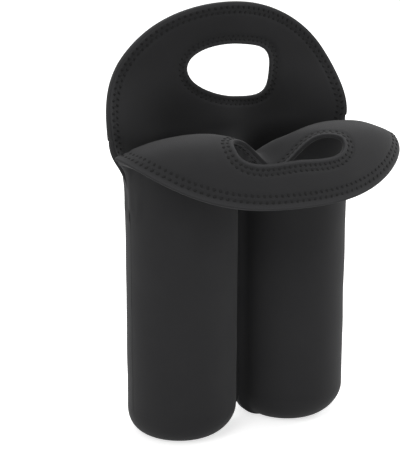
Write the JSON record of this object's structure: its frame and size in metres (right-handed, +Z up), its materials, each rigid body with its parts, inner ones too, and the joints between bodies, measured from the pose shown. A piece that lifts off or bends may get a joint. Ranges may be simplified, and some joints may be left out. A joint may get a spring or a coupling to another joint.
{
  "type": "bottle carrier",
  "caption": "Soft neoprene carrier with round bottle pouches side by side, an upright back handle lobe and a front handle lobe folded forward, each with a hand hole.",
  "frame": {"origin": "on the surface it stands on, under the middle of the outline in plan", "axes": "+X to the right along the row of pouches, front and folded handle towards -Y, +Z up along the pouches"},
  "size_m": [0.222, 0.1467, 0.337],
  "materials": {
    "neoprene": "matte black knitted jersey over foam rubber",
    "thread": "black polyester sewing thread, slight sheen"
  },
  "bodies": {
    "pouches": {"front_pouch_wall": "neoprene", "back_pouch_wall": "neoprene", "left_base": "neoprene", "right_base": "neoprene", "centre_seam_stitches": "thread", "left_side_seam_stitches": "thread", "right_side_seam_stitches": "thread", "left_base_seam_stitches": "thread", "right_base_seam_stitches": "thread"},
    "front_handle": {"front_handle_flap": "neoprene", "front_rim_stitches": "thread", "front_grip_stitches": "thread"},
    "back_handle": {"back_handle_flap": "neoprene", "back_rim_stitches": "thread", "back_grip_stitches": "thread"}
  },
  "joints": [
    {"name": "front_handle_fold", "type": "hinge", "parent": "pouches", "child": "front_handle", "pos_m": [0, -0.021, 0.252], "axis": [-1, 0, 0], "range_deg": [0, 140]},
    {"name": "back_handle_fold", "type": "hinge", "parent": "pouches", "child": "back_handle", "pos_m": [0, 0.065, 0.24], "axis": [-1, 0, 0], "range_deg": [0, 100]}
  ]
}
